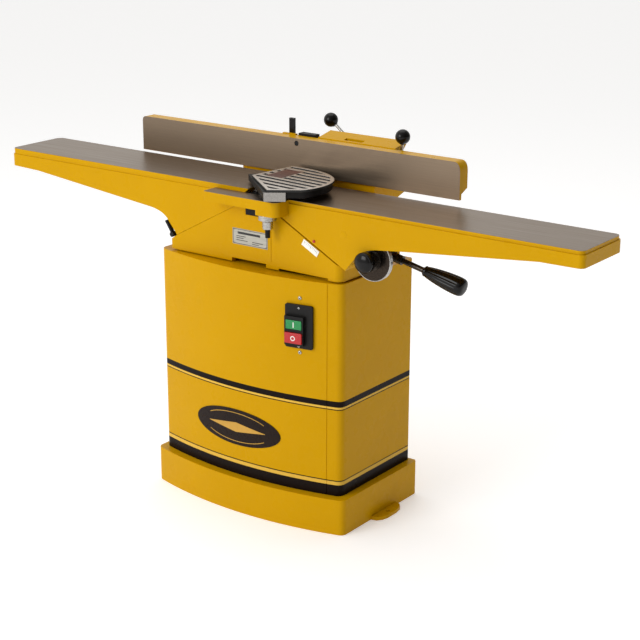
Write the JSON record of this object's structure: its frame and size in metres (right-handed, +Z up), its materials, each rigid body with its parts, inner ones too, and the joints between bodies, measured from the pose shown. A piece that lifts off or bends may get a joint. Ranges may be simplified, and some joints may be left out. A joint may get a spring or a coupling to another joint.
{
  "type": "jointer",
  "caption": "Woodworking jointer with long cast tables on dovetail ways, tilting fence, swinging guard and a closed bowed-front cabinet stand.",
  "frame": {"origin": "centre of the machine's plan on the floor, under the middle of its bounding box", "axes": "+X towards the infeed end, +Z up, -Y towards the operator"},
  "size_m": [1.676, 0.4564, 0.942],
  "materials": {
    "gold_enamel": "stove enamel, gloss",
    "table_enamel": "stove enamel with ground top",
    "black_iron": "black oxide",
    "bright_steel": "turned",
    "tool_steel": "ground",
    "guard_aluminium": "polished ribs",
    "black_plastic": "moulded gloss",
    "switch_plastic": "moulded satin",
    "green_plastic": "moulded gloss",
    "red_plastic": "moulded gloss",
    "belt_rubber": "matt",
    "scale_white": "satin"
  },
  "bodies": {
    "stand": {"plinth": "gold_enamel", "floor_lug_left": "gold_enamel", "floor_lug_right": "gold_enamel", "cabinet": "gold_enamel", "rear_access_panel": "gold_enamel", "switch_box": "switch_plastic", "chip_chute": "gold_enamel", "dust_port": "black_iron", "motor_body": "black_iron", "motor_mount": "black_iron", "motor_terminal_box": "black_iron", "v_belt": "belt_rubber", "belt_guard": "gold_enamel", "base_casting": "gold_enamel", "front_bearing_block": "black_iron", "front_bearing": "bright_steel", "rear_bearing_block": "black_iron", "rear_bearing": "bright_steel", "depth_scale": "scale_white", "fence_support": "gold_enamel", "cable_gland": "black_plastic"},
    "start_button": {"start_button": "green_plastic"},
    "stop_button": {"stop_button": "red_plastic"},
    "cutterhead": {"cutterhead": "bright_steel", "knife_1": "tool_steel", "knife_gib_1": "black_iron", "knife_2": "tool_steel", "knife_gib_2": "black_iron", "knife_3": "tool_steel", "knife_gib_3": "black_iron", "cutterhead_pulley": "bright_steel"},
    "motor_rotor": {"motor_shaft": "bright_steel", "motor_pulley": "black_iron"},
    "outfeed_table": {"outfeed_table": "table_enamel", "outfeed_gib": "black_iron"},
    "outfeed_handle": {"outfeed_lock_handle": "black_plastic"},
    "infeed_table": {"infeed_table": "table_enamel", "infeed_gib": "black_iron", "depth_pointer": "red_plastic", "guard_sleeve": "bright_steel"},
    "infeed_lever": {"infeed_lever_hub": "black_iron", "infeed_lever_arm": "black_iron", "infeed_lever_grip": "black_plastic"},
    "infeed_lock_knob": {"infeed_lock_knob": "black_plastic"},
    "guard_post": {"guard_post": "black_iron"},
    "guard": {"guard_body": "black_iron", "guard_top_plate": "guard_aluminium"},
    "fence_carriage": {"fence_carriage": "gold_enamel", "fence_hinge_pin_left": "bright_steel", "fence_hinge_pin_right": "bright_steel"},
    "slide_lock": {"slide_lock_lever": "bright_steel", "slide_lock_knob": "black_plastic"},
    "fence": {"fence": "table_enamel", "fence_bracket": "gold_enamel", "fence_stop_block": "black_iron", "fence_stop_bolt": "black_plastic", "index_lever_boss": "gold_enamel"},
    "tilt_lock": {"tilt_lock_lever": "bright_steel", "tilt_lock_knob": "black_plastic"},
    "index_lever": {"index_lever": "black_plastic"}
  },
  "joints": [
    {"name": "cutterhead_spin", "type": "hinge", "parent": "stand", "child": "cutterhead", "pos_m": [-0.024, -0.05875, 0.773], "axis": [0, 1, 0], "continuous": true},
    {"name": "motor_spin", "type": "hinge", "parent": "stand", "child": "motor_rotor", "pos_m": [-0.024, -0.05675, 0.235], "axis": [0, 1, 0], "continuous": true},
    {"name": "infeed_depth", "type": "slide", "parent": "stand", "child": "infeed_table", "axis": [0.8813, 0, -0.4726], "range_m": [-0.0201, 0.00677]},
    {"name": "infeed_lever_turn", "type": "hinge", "parent": "infeed_table", "child": "infeed_lever", "pos_m": [0.305, -0.11675, 0.685], "axis": [0, 1, 0], "range_deg": [-12, 36]},
    {"name": "infeed_lock_turn", "type": "hinge", "parent": "infeed_lever", "child": "infeed_lock_knob", "pos_m": [0.305, -0.17175, 0.685], "axis": [0, 1, 0], "range_deg": [-90, 90]},
    {"name": "outfeed_height", "type": "slide", "parent": "stand", "child": "outfeed_table", "axis": [0.8813, 0, 0.4726], "range_m": [-0.006, 0.0015]},
    {"name": "outfeed_lock_turn", "type": "hinge", "parent": "outfeed_table", "child": "outfeed_handle", "pos_m": [-0.284, -0.14675, 0.655], "axis": [0, 1, 0], "range_deg": [-70, 0]},
    {"name": "guard_pushed_by_fence", "type": "hinge", "parent": "infeed_table", "child": "guard_post", "pos_m": [0.038, -0.18175, 0.76], "axis": [0, 0, 1], "range_deg": [0, 143.5]},
    {"name": "guard_swing", "type": "hinge", "parent": "guard_post", "child": "guard", "pos_m": [0.038, -0.18175, 0.815], "axis": [0, 0, 1], "range_deg": [0, 80], "stiffness_Nm_per_rad": 0.5, "springref_deg": -17.19},
    {"name": "fence_slide", "type": "slide", "parent": "stand", "child": "fence_carriage", "axis": [0, -1, 0], "range_m": [0, 0.13]},
    {"name": "slide_lock_turn", "type": "hinge", "parent": "fence_carriage", "child": "slide_lock", "pos_m": [0.06, 0.18825, 0.82], "axis": [0, 0, 1], "range_deg": [-75, 0]},
    {"name": "fence_tilt", "type": "hinge", "parent": "fence_carriage", "child": "fence", "pos_m": [0.055, 0.03925, 0.818], "axis": [1, 0, 0], "range_deg": [-45, 45]},
    {"name": "tilt_lock_turn", "type": "hinge", "parent": "fence", "child": "tilt_lock", "pos_m": [0.232, 0.08125, 0.876], "axis": [1, 0, 0], "range_deg": [-35, 22]},
    {"name": "index_lever_turn", "type": "hinge", "parent": "fence", "child": "index_lever", "pos_m": [-0.089, 0.08025, 0.88], "axis": [1, 0, 0], "range_deg": [-40, 0]},
    {"name": "start_press", "type": "slide", "parent": "stand", "child": "start_button", "axis": [-0.1727, 0.985, 0], "range_m": [0, 0.003], "stiffness_N_per_m": 400},
    {"name": "stop_press", "type": "slide", "parent": "stand", "child": "stop_button", "axis": [-0.1727, 0.985, 0], "range_m": [0, 0.003], "stiffness_N_per_m": 400}
  ],
  "couplings": [
    {"joint": "motor_spin", "follows": "cutterhead_spin", "ratio": 0.7},
    {"joint": "infeed_lever_turn", "follows": "infeed_depth", "rad_per_m": -29},
    {"joint": "guard_pushed_by_fence", "follows": "fence_slide", "rad_per_m": 19.199}
  ]
}
